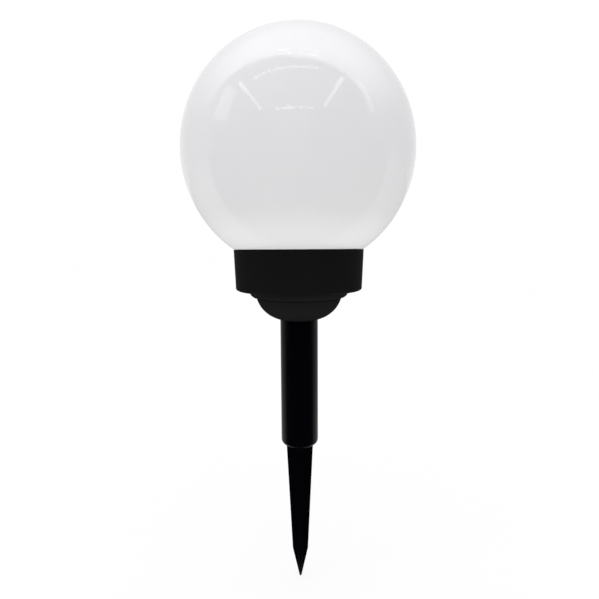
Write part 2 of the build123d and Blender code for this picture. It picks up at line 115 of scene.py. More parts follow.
class Carve(Enum):
    """How one solid acts on another."""

    ADD = "UNION"
    REMOVE = "DIFFERENCE"
    KEEP = "INTERSECT"


class Ray(Enum):
    """Kinds of light ray that the studio tells apart, by Light Path's outputs."""

    CAMERA = "Is Camera Ray"
    GLOSSY = "Is Glossy Ray"
    TRANSMISSION = "Is Transmission Ray"


# Shader helpers


def linear(code: str) -> tuple[float, float, float, float]:
    """Turn an sRGB hex colour into linear RGBA.

    Args:
        code: six hex digits after a hash sign.

    Returns:
        Red, green, blue and an alpha of 1.
    """
    shares = [int(code[i:i + 2], 16) / 255 for i in (1, 3, 5)]
    red, green, blue = (s / 12.92 if s <= 0.04045 else ((s + 0.055) / 1.055) ** 2.4 for s in shares)
    return red, green, blue, 1.0


def per_size(size: float) -> float:
    """Texture scale whose features are about this many millimetres wide."""
    return 1 / (size * MM)


def add_node(tree: Tree, kind: str, settings: dict[str | int, Any] | None = None) -> Node:
    """Add one shader node with its settings and links.

    Args:
        tree: the tree that gets the node.
        kind: the node type's identifier, after the ShaderNode that starts each of them.
        settings: values, or sockets to link, by property name, input name or input number.

    Returns:
        The new node.
    """
    node = tree.nodes.new(f"ShaderNode{kind}")
    for name, value in (settings or {}).items():
        if isinstance(value, Socket):
            tree.links.new(value, node.inputs[name])
        elif isinstance(name, int) or name in node.inputs:
            node.inputs[name].default_value = value
        else:
            setattr(node, name, value)
    return node


@dataclass(frozen=True)
class Surface:
    """A material in the making: its nodes, its shader and the place of each point, by the object."""

    tree: Tree
    shader: Node
    place: Socket

    def feed(self, name: str, socket: Socket) -> None:
        """Let a socket feed one of the shader's inputs."""
        self.tree.links.new(socket, self.shader.inputs[name])

    def fed(self, name: str) -> list[Socket]:
        """What feeds one of the shader's inputs so far: one socket or none."""
        return [link.from_socket for link in self.shader.inputs[name].links]

    def lay(self, code: str, share: Socket, ground: str | None = None) -> None:
        """Lay a colour over the surface.

        Args:
            code: the colour.
            share: how much of it shows, from 0 to 1.
            ground: the plain colour under it, where that isn't the surface's colour so far.
        """
        under = linear(ground) if ground else self.fed("Base Color")[0]
        settings = {"data_type": "RGBA", MIX_SHARE: share, MIX_UNDER: under, MIX_OVER: linear(code)}
        self.feed("Base Color", add_node(self.tree, "Mix", settings).outputs[MIX_RESULT])


# Finishes


@dataclass(frozen=True)
class Finish:
    """A surface that drifts between two close colours and glosses, with a fine relief."""

    name: str
    colour: str
    second_colour: str
    roughness: float
    patch: float
    grain: float
    grain_height: float
    gloss_spread: float = 0.05
    specular: float = 0.5
    metallic: float = 0.0

    def material(self) -> bpy.types.Material:
        """Make the material, or give the one that was made before.

        Returns:
            The material of this finish.
        """
        made = bpy.data.materials.get(self.name)
        if made is not None:
            return made
        made = bpy.data.materials.new(self.name)
        made.use_nodes = True
        made.diffuse_color = linear(self.colour)
        tree = made.node_tree
        tree.nodes.clear()
        shader = add_node(
            tree, "BsdfPrincipled", {"Metallic": self.metallic, "Specular IOR Level": self.specular}
        )
        add_node(tree, "OutputMaterial", {"Surface": shader.outputs["BSDF"]})
        surface = Surface(tree, shader, add_node(tree, "TexCoord").outputs["Object"])
        self.mottle(surface)
        self.relief(surface, self.grain, self.grain_height)
        self.detail(surface)
        return made

    def mottle(self, surface: Surface) -> None:
        """Let colour and gloss drift over patches.

        Args:
            surface: the material in the making.
        """
        cloud = add_node(
            surface.tree,
            "TexNoise",
            {
                "Vector": surface.place,
                "Scale": per_size(self.patch),
                "Detail": 3.0,
                "Roughness": 0.55,
                "Distortion": 0.3,
            },
        )
        share = cloud.outputs["Fac"]
        low, high = self.roughness - self.gloss_spread, self.roughness + self.gloss_spread
        gloss = add_node(surface.tree, "MapRange", {"Value": share, "To Min": low, "To Max": high})
        surface.feed("Roughness", gloss.outputs["Result"])
        surface.lay(self.second_colour, share, self.colour)

    def relief(self, surface: Surface, size: float, height: float) -> None:
        """Raise a fine uneven surface, on top of any relief that is there already.

        Args:
            surface: the material in the making.
            size: width of the bumps.
            height: their height.
        """
        bumps = add_node(
            surface.tree, "TexNoise", {"Vector": surface.place, "Scale": per_size(size), "Detail": 2.0}
        )
        settings = {"Height": bumps.outputs["Fac"], "Strength": 1.0, "Distance": height * MM}
        for below in surface.fed("Normal"):
            settings["Normal"] = below
        surface.feed("Normal", add_node(surface.tree, "Bump", settings).outputs["Normal"])

    def detail(self, surface: Surface) -> None:
        """Add what this kind of surface shows beyond drift and relief: nothing here."""


@dataclass(frozen=True)
class WavyMoulding(Finish):
    """A glossy moulded wall that rolls very slightly, as seen in its reflections."""

    wave: float = 22.0
    wave_height: float = 0.03

    def detail(self, surface: Surface) -> None:
        """Add the slow waves."""
        self.relief(surface, self.wave, self.wave_height)


@dataclass(frozen=True)
class GlowPaintedBlowing(WavyMoulding):
    """A blown wall painted lighter towards its neck: a painted glow standing in for light coming
    through the wall near the collar.
    """

    # painted glow: the lighter colour, and the heights over which it fades out, for light coming
    # through the wall near the neck
    painted_glow: str = "#F8F8F8"
    painted_glow_heights: Point = (138.0, 160.0)

    def detail(self, surface: Surface) -> None:
        """Add the waves and paint a glow on the wall, lighter towards its neck.

        Args:
            surface: the material in the making.
        """
        super().detail(surface)
        axes = add_node(surface.tree, "SeparateXYZ", {"Vector": surface.place})
        low, high = (height * MM for height in self.painted_glow_heights)
        settings = {"interpolation_type": "SMOOTHSTEP", "Value": axes.outputs["Z"]}
        settings |= {"From Min": low, "From Max": high, "To Min": 1.0, "To Max": 0.0}
        glow_share = add_node(surface.tree, "MapRange", settings)
        # lays the painted glow, lighter near the neck
        surface.lay(self.painted_glow, glow_share.outputs["Result"])


@dataclass(frozen=True)
class ClearCast(Finish):
    """Clear cast plastic that what lies inside shows through."""

    refraction: float = 1.5

    def detail(self, surface: Surface) -> None:
        """Let light through."""
        surface.shader.inputs["Transmission Weight"].default_value = 1.0
        surface.shader.inputs["IOR"].default_value = self.refraction


@dataclass(frozen=True)
class SiliconCell(Finish):
    """Silicon crystals in slightly different blues under thin printed silver fingers."""

    crystal: float = 5.0
    finger_pitch: float = 2.0
    finger_width: float = 0.22
    finger_colour: str = "#8C919B"

    def detail(self, surface: Surface) -> None:
        """Colour each crystal and print the fingers across the strips.

        Args:
            surface: the material in the making.
        """
        tree, place = surface.tree, surface.place
        crystals = add_node(tree, "TexVoronoi", {"Vector": place, "Scale": per_size(self.crystal)})
        share = add_node(tree, "SeparateColor", {"Color": crystals.outputs["Color"]})
        surface.lay(self.second_colour, share.outputs["Red"], self.colour)
        printed = add_node(tree, "SeparateXYZ", {"Vector": place}).outputs["Y"]
        for step, width in (("PINGPONG", self.finger_pitch), ("LESS_THAN", self.finger_width)):
            settings = {"operation": step, 0: printed, 1: width / 2 * MM}
            printed = add_node(tree, "Math", settings).outputs["Value"]
        surface.lay(self.finger_colour, printed)


@dataclass(frozen=True)
class WovenLaminate(Finish):
    """Glass-cloth laminate whose weave shows faintly under its skin."""

    thread: float = 0.9
    thread_colour: str = "#20303A"
    thread_share: float = 0.35

    def detail(self, surface: Surface) -> None:
        """Lay the weave of the cloth over the drift.

        Args:
            surface: the material in the making.
        """
        settings = {"Vector": surface.place, "Scale": per_size(self.thread)}
        cloth = add_node(surface.tree, "TexChecker", settings)
        settings = {"Value": cloth.outputs["Fac"], "To Max": self.thread_share}
        faint = add_node(surface.tree, "MapRange", settings)
        surface.lay(self.thread_colour, faint.outputs["Result"])


# Each finish lists its name, its two colours and its roughness, then in millimetres the size of its
# patches, the width and the height of its relief, and then its spread of gloss and its specular

# Opal polystyrene, blow moulded: milky white, wet gloss, slow waves, and a painted glow that lightens
# it at the neck
OPAL = GlowPaintedBlowing("opal_polystyrene", "#E5E5E6", "#EEEEEE", 0.02, 42.0, 2.2, 0.04, 0.01)
# Black ABS, injection moulded in a lightly etched tool: satin, almost without reflections
HOUSING_ABS = Finish("black_abs_satin", "#131314", "#161617", 0.65, 16.0, 0.7, 0.008, 0.05, 0.02)
# Black ABS of the bowl, matt; its colour painted a touch lighter than the collar's, to make up for the
# weaker light that reaches it
BOWL_ABS_PAINTED_LIGHTER = Finish("black_abs_matt_painted_lighter", "#1B1B1B", "#1F1F1F", 0.8, 16.0, 0.9, 0.012, 0.05, 0.01)
# Black polypropylene, moulded in a polished tool: deep bluish black with soft long highlights
STAKE_PP = Finish("black_polypropylene", "#010105", "#020308", 0.25, 20.0, 2.4, 0.006, 0.04, 0.11)
# Black EPDM rubber, moulded: matt and dusty, with a fine pebbled skin
SEAL_EPDM = Finish("black_epdm_rubber", "#1E1E1F", "#2A2A2A", 0.72, 6.0, 0.5, 0.02, 0.08, 0.3)
# Black ABS, moulded in a spark-eroded tool: matt, with an even sparkle of grain
TRAY_ABS = Finish("black_abs_textured", "#161617", "#1D1D1E", 0.52, 9.0, 0.45, 0.02, 0.06, 0.35)
# Black ABS, moulded small: a little worn and shiny from fingers
KNOB_ABS = Finish("black_abs_polished", "#141414", "#1C1C1C", 0.38, 1.2, 0.3, 0.01, 0.1, 0.4)
# Steel, zinc plated: bright grey with a faint yellow-blue bloom
ZINC_STEEL = Finish("zinc_plated_steel", "#B4B7B8", "#C3BFAE", 0.3, 2.2, 0.25, 0.006, 0.1, metallic=1.0)
# Spring steel, nickel plated: warm bright metal with fine rolling marks
NICKEL_STEEL = Finish(
    "nickel_plated_steel", "#C4C0B6", "#B3AFA4", 0.24, 3.0, 0.3, 0.004, 0.08, metallic=1.0
)
# Copper ribbon, hot tinned: dull silver with a frozen, uneven flow of tin
TINNED_COPPER = Finish("tinned_copper", "#C9CBCC", "#A9ABAC", 0.34, 0.9, 0.6, 0.02, 0.1, metallic=1.0)
# Silicon strips, screen printed: dark blue crystals crossed by silver fingers
SILICON = SiliconCell("polycrystalline_silicon", "#0A1130", "#141E4A", 0.22, 8.0, 0.6, 0.002, 0.04)
# Backing board of the panel, black glass laminate: dark, with the cloth just visible
PANEL_LAMINATE = WovenLaminate("black_glass_laminate", "#10171D", "#151D24", 0.4, 7.0, 0.8, 0.006)
# Circuit board, green solder mask on glass laminate: glossy lacquer over a faint weave
BOARD_LAMINATE = WovenLaminate(
    "green_solder_mask", "#0F5A2C", "#146A36", 0.28, 4.0, 0.7, 0.006, thread_colour="#0B4420"
)
# Polyurethane resin, poured: water clear, with a soft uneven skin
PANEL_RESIN = ClearCast("clear_cast_resin", "#F4F8FA", "#FBFCFC", 0.03, 9.0, 6.0, 0.03, 0.015)
# Epoxy, cast in a mould: clear as glass over the lamp's cup
LAMP_EPOXY = ClearCast(
    "clear_lamp_epoxy", "#FBFAF4", "#FFFFFF", 0.02, 2.0, 1.2, 0.002, 0.01, refraction=1.53
)
# Phosphor in silicone, dripped: matt yellow powder
PHOSPHOR = Finish("yellow_phosphor", "#E2C22E", "#EBD65C", 0.6, 0.5, 0.2, 0.02, 0.06)
# Chip package, moulded epoxy: matt black with a grey bloom
CHIP_EPOXY = Finish("black_moulded_epoxy", "#1B1B1C", "#262627", 0.55, 1.5, 0.2, 0.01)
# Inductor, dipped lacquer: glossy green that pools unevenly
COIL_LACQUER = Finish("green_dipped_lacquer", "#2C6B45", "#3C8257", 0.25, 1.6, 0.9, 0.02)
# Battery sleeve, shrunk PVC: plain green, glossy, with soft shrink ripples
SLEEVE_PVC = WavyMoulding(
    "green_shrink_pvc", "#1E7A45", "#238650", 0.22, 8.0, 1.5, 0.01, 0.04, wave=6.0
)
# Wire insulation, extruded PVC: soft gloss, nearly even colour
RED_PVC = Finish("red_extruded_pvc", "#B01E1C", "#BF2A25", 0.38, 3.0, 0.5, 0.006)
BLACK_PVC = Finish("black_extruded_pvc", "#1A1A1B", "#222223", 0.38, 3.0, 0.5, 0.006)
WHITE_PVC = Finish("white_extruded_pvc", "#DEDDD8", "#E6E5E1", 0.38, 3.0, 0.5, 0.006)


# Modelling helpers


def take(piece: Piece | None = None) -> None:
    """Leave edit mode and select one object alone, or none.

    Args:
        piece: the object that becomes active.
    """
    if bpy.context.object is not None and bpy.context.object.mode != "OBJECT":
        bpy.ops.object.mode_set(mode="OBJECT")
    bpy.ops.object.select_all(action="DESELECT")
    if piece is not None:
        piece.select_set(True)
        bpy.context.view_layer.objects.active = piece


def edit(piece: Piece) -> None:
    """Open one object in edit mode with all of it selected, by vertices.

    Args:
        piece: the object.
    """
    take(piece)
    bpy.ops.object.mode_set(mode="EDIT")
    bpy.ops.mesh.select_mode(type="VERT")
    bpy.ops.mesh.select_all(action="SELECT")


def settle(piece: Piece) -> Piece:
    """Put an object's place, turn and scale into its mesh.

    Args:
        piece: the object.

    Returns:
        The same object, at the origin.
    """
    take(piece)
    bpy.ops.object.transform_apply(location=True, rotation=True, scale=True)
    return piece


def close_up() -> None:
    """Merge doubles and turn the faces outwards, in edit mode."""
    bpy.ops.mesh.select_all(action="SELECT")
    bpy.ops.mesh.remove_doubles(threshold=MERGE_DISTANCE)
    bpy.ops.mesh.normals_make_consistent(inside=False)


def metres(place: Place) -> Place:
    """A place in millimetres as metres."""
    return place[0] * MM, place[1] * MM, place[2] * MM


def arc(centre: Point, radii: Point, start: float, end: float, count: int) -> list[Point]:
    """Points on a stretch of an ellipse.

    Args:
        centre: radius and height of its centre.
        radii: its half width and half height.
        start: first angle in degrees, from outwards towards up.
        end: last angle.
        count: number of steps.

    Returns:
        The points, both ends included.
    """
    angles = [math.radians(start + (end - start) * i / count) for i in range(count + 1)]
    return [(centre[0] + radii[0] * math.cos(a), centre[1] + radii[1] * math.sin(a)) for a in angles]


def turn(name: str, outline: Sequence[Point], closed: bool = False, steps: int = TURN_STEPS) -> Piece:
    """Turn an outline about the stake's axis, as on a lathe.

    Args:
        name: the new object's name.
        outline: (radius, height) points.
        closed: whether the last point joins the first one.
        steps: facets around.

    Returns:
        A closed object with its faces outwards.
    """
    take()
    radius, height = outline[0]
    bpy.ops.mesh.primitive_plane_add(size=MM, location=metres((radius, 0, height)))
    piece = bpy.context.object
    piece.name = name
    edit(piece)
    bpy.ops.mesh.merge(type="CENTER")
    for start, end in pairwise(outline):
        step = metres((end[0] - start[0], 0, end[1] - start[1]))
        bpy.ops.mesh.extrude_vertices_move(TRANSFORM_OT_translate={"value": step})
    if closed:
        mesh = bmesh.from_edit_mesh(piece.data)
        for vertex in mesh.verts:
            vertex.select_set(len(vertex.link_edges) == 1)
        bmesh.update_edit_mesh(piece.data)
        bpy.ops.mesh.edge_face_add()
    bpy.ops.mesh.select_all(action="SELECT")
    bpy.ops.mesh.spin(steps=steps, angle=math.tau, center=(0, 0, 0), axis=(0, 0, 1))
    close_up()
    return settle(piece)


def turned_block(name: str, radii: Point, heights: Point, start: float, sweep: float) -> Piece:
    """A block with a square section, turned through part of a circle.

    Args:
        name: the new object's name.
        radii: inner and outer radius.
        heights: lower and upper height.
        start: first angle in degrees from +X.
        sweep: angle that it covers, counter-clockwise.

    Returns:
        The block.
    """
    take()
    middle = sum(radii) / 2
    angle = math.radians(start)
    spot = (middle * math.cos(angle), middle * math.sin(angle), sum(heights) / 2)
    bpy.ops.mesh.primitive_plane_add(size=1, location=metres(spot), rotation=(math.pi / 2, 0, angle))
    piece = bpy.context.object
    piece.name = name
    piece.scale = ((radii[1] - radii[0]) * MM, (heights[1] - heights[0]) * MM, 1)
    edit(settle(piece))
    # without a window a positive angle spins clockwise
    steps = max(LEAST_STEPS, round(sweep * TURN_STEPS / 360))
    bpy.ops.mesh.spin(steps=steps, angle=-math.radians(sweep), center=(0, 0, 0), axis=(0, 0, 1))
    close_up()
    take(piece)
    return piece


def block(name: str, low: Sequence[float], high: Sequence[float]) -> Piece:
    """A box between two corners.

    Args:
        name: the new object's name.
        low: its lowest corner.
        high: its highest corner.

    Returns:
        The box.
    """
    take()
    bpy.ops.mesh.primitive_cube_add(size=1, location=[(a + b) / 2 * MM for a, b in zip(low, high)])
    piece = bpy.context.object
    piece.name = name
    piece.scale = [(b - a) * MM for a, b in zip(low, high)]
    return settle(piece)


def copies(name: str, model: Piece, places: Sequence[Place], turns: Sequence[float] = ()) -> Piece:
    """Copy a model, each copy with its own mesh, and join the copies.

    Args:
        name: the joined object's name.
        model: what is copied; it goes away.
        places: where the copies go.
        turns: degrees that each one is turned about Z.

    Returns:
        The copies as one object.
    """
    made = []
    for i, place in enumerate(places):
        take(model)
        bpy.ops.object.duplicate(linked=False)
        copy = bpy.context.object
        copy.location = metres(place)
        copy.rotation_euler.z = math.radians(turns[i]) if turns else 0.0
        made.append(settle(copy))
    bpy.data.objects.remove(model)
    return joined(name, made)


def joined(name: str, pieces: Sequence[Piece]) -> Piece:
    """Join separate objects into one.

    Args:
        name: the joined object's name.
        pieces: what is joined.

    Returns:
        The one object.
    """
    take(pieces[0])
    for piece in pieces:
        piece.select_set(True)
    if len(pieces) > 1:
        bpy.ops.object.join()
    pieces[0].name = name
    return pieces[0]


def rods(
    name: str, spots: Sequence[Point], radius: float, low: float, high: float, twist: float = ROD_TWIST
) -> Piece:
    """Upright round bars at several places, as one tool.

    Args:
        name: the object's name.
        spots: (x, y) of each bar.
        radius: their radius.
        low: lower height.
        high: upper height.
        twist: degrees that keep the bars' facets off those of what they cut.

    Returns:
        The bars, joined.
    """
    bar = turn(name, [(0, low), (radius, low), (radius, high), (0, high)], steps=ROD_STEPS)
    return copies(name, bar, [(x, y, 0) for x, y in spots], [twist] * len(spots))


def modify(piece: Piece, kind: str, **settings: Any) -> None:
    """Give a piece a modifier and apply it.

    Args:
        piece: what is changed.
        kind: the modifier's type.
        settings: its values by name.
    """
    take(piece)
    step = piece.modifiers.new(kind.lower(), kind)
    for name, value in settings.items():
        setattr(step, name, value)
    bpy.ops.object.modifier_apply(modifier=step.name)


def carve(piece: Piece, tool: Piece, way: Carve) -> None:
    """Add a tool's solid to a piece, take it away or keep what both share, and drop the tool.

    Args:
        piece: what is changed.
        tool: the solid that acts on it.
        way: which of the three it is.
    """
    modify(piece, "BOOLEAN", operation=way.value, object=tool, solver="EXACT")
    bpy.data.objects.remove(tool)


def ease(piece: Piece, width: float, segments: int = 2, angle: float = 40.0) -> None:
    """Round the edges that turn by more than an angle.

    Args:
        piece: what is changed.
        width: the rounding's width.
        segments: its steps.
        angle: the least turn in degrees.
    """
    limit = math.radians(angle)
    modify(piece, "BEVEL", width=width * MM, segments=segments, limit_method="ANGLE", angle_limit=limit)


def pick_faces(piece: Piece, wanted: Callable[[Vector, Vector], bool]) -> None:
    """Select faces in edit mode.

    Args:
        piece: the object in edit mode.
        wanted: says yes to a face's centre, in millimetres, and its normal.
    """
    bpy.ops.mesh.select_mode(type="FACE")
    bpy.ops.mesh.select_all(action="DESELECT")
    mesh = bmesh.from_edit_mesh(piece.data)
    for face in mesh.faces:
        face.select_set(wanted(face.calc_center_median() / MM, face.normal))
    bmesh.update_edit_mesh(piece.data)


def round_edges(
    piece: Piece, width: float, wanted: Callable[[Vector, Vector], bool], segments: int
) -> None:
    """Round some of a piece's edges.

    Args:
        piece: what is changed.
        width: the rounding's width.
        wanted: says yes to an edge's two ends, in millimetres.
        segments: the rounding's steps.
    """
    edit(piece)
    bpy.ops.mesh.select_mode(type="EDGE")
    bpy.ops.mesh.select_all(action="DESELECT")
    mesh = bmesh.from_edit_mesh(piece.data)
    for edge in mesh.edges:
        edge.select_set(wanted(edge.verts[0].co / MM, edge.verts[1].co / MM))
    bmesh.update_edit_mesh(piece.data)
    bpy.ops.mesh.bevel(offset=width * MM, segments=segments, affect="EDGES")
    take(piece)


def clean(piece: Piece) -> None:
    """Split faces of many corners into well shaped triangles and drop what has no area.

    Args:
        piece: the finished piece.
    """
    edit(piece)
    bpy.ops.mesh.select_mode(type="FACE")
    bpy.ops.mesh.select_all(action="DESELECT")
    bpy.ops.mesh.select_face_by_sides(number=4, type="GREATER")
    bpy.ops.mesh.quads_convert_to_tris(ngon_method="BEAUTY")
    bpy.ops.mesh.select_all(action="SELECT")
    bpy.ops.mesh.dissolve_degenerate(threshold=MERGE_DISTANCE)
    close_up()
    take(piece)


def dress(piece: Piece, finish: Finish, body: Body, slot: str, *nodes: str) -> None:
    """Shade a finished piece, give it its finish and hang it on its body.

    Args:
        piece: the finished piece.
        finish: its material.
        body: the body that it moves with.
        slot: not used.
        nodes: the CAD nodes that it stands for.
    """
    clean(piece)
    bpy.ops.object.shade_smooth_by_angle(angle=SMOOTH_ANGLE)
    piece.data.materials.clear()
    piece.data.materials.append(finish.material())
    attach(piece, body.value)
    if nodes:
        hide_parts(*nodes)
    LOG.info("%s: %d faces, on %s", piece.name, len(piece.data.polygons), body.value)


def dress_node(node: str, finish: Finish) -> None:
    """Give a CAD node that shows as it is its finish.

    Args:
        node: the node's name.
        finish: its material.
    """
    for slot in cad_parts[node].material_slots:
        slot.material = finish.material()
    LOG.info("%s: kept, in %s", node, finish.name)


# Sub-assemblies


@dataclass(frozen=True)
class NodeBox:
    """Corners of a CAD node at rest."""

    low: Vector
    high: Vector

    @classmethod
    def of(cls, node: str) -> "NodeBox":
        """Read a node's box from the frame."""
        low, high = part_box(node)
        return cls(low / MM, high / MM)

    @property
    def radius(self) -> float:
        """Half of its width along X."""
        return (self.high.x - self.low.x) / 2

    @property
    def middle(self) -> Vector:
        """Its centre."""
        return (self.low + self.high) / 2


def box_of(node: str) -> Any:
    """A dataclass field that holds a CAD node's box."""
    return field(default_factory=lambda: NodeBox.of(node))


@dataclass
class Globe:
    """Opal ball with a flat shoulder, a neck inside the collar and three bayonet lugs."""

    box: NodeBox = box_of("globe")
    collar_box: NodeBox = box_of("collar")
    wall: float = 1.8
    neck_radius: float = 39.963
    lug_count: int = 3
    lug_half_angle: float = 5.0
    lug_reach: float = 1.2
    lug_low: float = 129.25
    lug_high: float = 131.25
    rings: int = 72
    edge: float = 0.3

    def build(self) -> None:
        """Model the ball from a sphere and dress it."""
        radius = self.box.radius
        centre = self.box.high.z - radius
        rim = self.collar_box.high.z
        shoulder = math.sqrt(radius**2 - (centre - rim) ** 2)
        take()
        bpy.ops.mesh.primitive_uv_sphere_add(
            segments=TURN_STEPS, ring_count=self.rings, radius=radius * MM, location=(0, 0, centre * MM)
        )
        piece = bpy.context.object
        piece.name = "opal_globe"
        edit(settle(piece))
        bpy.ops.mesh.bisect(plane_co=(0, 0, rim * MM), plane_no=(0, 0, 1), clear_inner=True)
        self._extrude(0)
        self._spread(self.neck_radius / shoulder)
        self._extrude(self.box.low.z - rim)
        close_up()
        modify(piece, "SOLIDIFY", thickness=self.wall * MM, offset=-1, use_even_offset=True)
        self._raise_lugs(piece)
        ease(piece, self.edge, segments=3)
        dress(piece, OPAL, Body.GLOBE, "opal", "globe")

    def _extrude(self, rise: float) -> None:
        """Extrude what is selected upwards."""
        bpy.ops.mesh.extrude_region_move(TRANSFORM_OT_translate={"value": (0, 0, rise * MM)})

    def _spread(self, share: float) -> None:
        """Scale what is selected towards or away from the axis."""
        bpy.ops.transform.resize(value=(share, share, 1), center_override=(0, 0, 0))

    def _raise_lugs(self, piece: Piece) -> None:
        """Cut two rings into the neck and pull the lugs out of the band between them.

        Args:
            piece: the globe.
        """
        edit(piece)
        for height in (self.lug_low, self.lug_high):
            bpy.ops.mesh.select_all(action="SELECT")
            bpy.ops.mesh.bisect(plane_co=(0, 0, height * MM), plane_no=(0, 0, 1))
        pick_faces(piece, self._on_lug)
        self._extrude(0)
        self._spread((self.neck_radius + self.lug_reach) / self.neck_radius)
        take(piece)

    def _on_lug(self, middle: Vector, normal: Vector) -> bool:
        """Tell whether a face of the neck belongs to a lug.

        Args:
            middle: the face's centre.
            normal: its direction.

        Returns:
            True for the outer faces at the lugs' places.
        """
        pitch = 360 / self.lug_count
        turned = math.degrees(math.atan2(middle.y, middle.x)) % pitch
        near = min(turned, pitch - turned) < self.lug_half_angle
        outside = math.hypot(middle.x, middle.y) > self.neck_radius - self.wall / 2
        outwards = normal.x * middle.x + normal.y * middle.y > 0
        return near and outside and outwards and self.lug_low < middle.z < self.lug_high


@dataclass
class Housing:
    """The black collar that takes the globe, and the stepped bowl under it."""

    collar_box: NodeBox = box_of("collar")
    bowl_box: NodeBox = box_of("bowl")
    screw_box: NodeBox = box_of("housing_screws")
    tube_box: NodeBox = box_of("stake_tube")
    switch_box: NodeBox = box_of("switch_body")
    tray_under: float = TRAY_UNDER
    floor: float = 2.0
    wall: float = 3.0
    taper: float = 1.0
    foot_round: Point = (3.0, 1.75)
    rim_round: float = 0.4
    slot_radii: Point = (38.2, 41.71)
    slot_low: float = 128.85
    slot_lock_high: float = 131.65
    slot_half_angle: float = 5.6
    slot_slip: float = 0.05
    lock_start: float = 1.0
    slot_count: int = 3
    lock_turn: float = 18.0
    pillar_radius: float = 3.2
    pillar_spot: Point = TRAY_SCREW
    screw_bore: float = 1.45
    screw_bore_depth: float = 6.5
    screw_hole: float = SCREW_HOLE
    screw_head: float = 2.75
    switch_slot: Point = (5.5, 2.2)
    ovolo: Point = (4.4, 4.75)
    ledge: float = 0.3
    bowl_wall: float = 2.0
    bowl_curve_inset: float = 5.0
    bowl_curve_rise: float = 4.3
    socket_step: float = 0.95
    socket_wall: float = 2.2
    socket_cap: float = 1.4
    boss_radius: float = 3.4
    groove: Point = (0.9, 0.45)

    def build(self) -> None:
        """Model and dress both mouldings."""
        self._collar()
        self._bowl()

    @property
    def screw_spots(self) -> list[Point]:
        """Places of the four screws between collar and bowl."""
        reach = self.screw_box.radius - self.screw_head
        return [(-reach, -reach), (-reach, reach), (reach, -reach), (reach, reach)]

    def _collar(self) -> None:
        """Turn the cup, add the tray's pillars and cut slots and holes."""
        foot, rim = self.collar_box.low.z, self.collar_box.high.z
        rim_radius = self.collar_box.radius
        foot_radius = rim_radius - self.taper
        bore = rim_radius - self.wall
        floor = foot + self.floor
        out, up = self.foot_round
        corner = self.rim_round
        outline = [(0, floor), (bore, floor), (bore, rim)]
        outline += arc((rim_radius - corner, rim - corner), (corner, corner), 90, 0, count=4)
        outline += arc((foot_radius - out, foot + up), (out, up), 0, -90, count=10)
        outline += [(0, foot)]
        piece = turn("collar_cup", outline)
        x, y = self.pillar_spot
        pillars = [(-x, -y), (-x, y), (x, -y), (x, y)]
        top = self.tray_under
        carve(piece, rods("pillars", pillars, self.pillar_radius, floor - ROOT, top), Carve.ADD)
        bore_low = top - self.screw_bore_depth
        bores = rods("bores", pillars, self.screw_bore, bore_low, top + PAST, BORE_TWIST)
        carve(piece, bores, Carve.REMOVE)
        holes = rods("holes", self.screw_spots, self.screw_hole, foot - PAST, floor + PAST)
        carve(piece, holes, Carve.REMOVE)
        half = self.slot_half_angle
        inner, outer = self.slot_radii
        slip = self.slot_slip
        # the locking leg starts inside the entry leg, a hair shallower, so that no faces coincide
        lock = (self.slot_low + slip, self.slot_lock_high)
        for radii, heights, first, last in (
            ((inner, outer), (self.slot_low, rim + PAST), -half, half),
            ((inner, outer - slip), lock, self.lock_start, half + self.lock_turn),
        ):
            legs = [
                turned_block("leg", radii, heights, start + first, last - first)
                for start in (360 / self.slot_count * i for i in range(self.slot_count))
            ]
            carve(piece, joined("legs", legs), Carve.REMOVE)
        switch = self.switch_box.middle
        length, depth = self.switch_slot
        low = (switch.x - length / 2, switch.y - depth / 2, foot - PAST)
        high = (switch.x + length / 2, switch.y + depth / 2, floor + PAST)
        carve(piece, block("switch_slot", low, high), Carve.REMOVE)
        dress(piece, HOUSING_ABS, Body.HEAD, "black_housing", "collar")

    def _bowl(self) -> None:
        """Turn the quarter-round, the bowl and the socket inside it, and add the screw bosses."""
        low, high = self.bowl_box.low.z, self.bowl_box.high.z
        ovolo_foot = self.bowl_box.radius - self.ovolo[0]
        ledge_height = high - self.ovolo[1]
        inset, rise = self.bowl_curve_inset, self.bowl_curve_rise
        centre = (self.tube_box.radius - inset, ledge_height + rise)
        reach = ovolo_foot - self.ledge - centre[0]
        # the ellipse passes through the ledge and the tube's wall
        squash = (reach**2 - inset**2) / ((centre[1] - low) ** 2 - rise**2)
        width = math.sqrt(reach**2 + squash * rise**2)
        skin = (width, width / math.sqrt(squash))
        hollow = (skin[0] - self.bowl_wall, skin[1] - self.bowl_wall)
        socket = self.tube_box.radius - self.socket_step
        socket_outer = socket + self.socket_wall
        cap = high - self.socket_cap
        outline = [(0, high), (socket_outer, high)]
        outline += arc(
            centre,
            hollow,
            -math.degrees(math.acos((socket_outer - centre[0]) / hollow[0])),
            -math.degrees(math.asin(rise / hollow[1])),
            count=16,
        )
        outline += [(outline[-1][0], high)]
        # grooves give the thin dark lines over and under the quarter-round
        deep, tall = self.groove
        start = math.degrees(math.asin(tall / self.ovolo[1]))
        outline += [(self.bowl_box.radius - deep, high), (self.bowl_box.radius - deep, high - tall)]
        outline += arc((ovolo_foot, high), self.ovolo, -start, -90, count=12)
        outline += [(ovolo_foot - deep, ledge_height), (ovolo_foot - deep, ledge_height - tall)]
        outline += arc(
            centre,
            skin,
            -math.degrees(math.asin((rise + tall) / skin[1])),
            -math.degrees(math.acos(inset / width)),
            count=28,
        )
        outline += [(socket, low), (socket, cap), (0, cap)]
        piece = turn("stepped_bowl", outline)
        spots = self.screw_spots
        bosses = rods("bosses", spots, self.boss_radius, low, high)
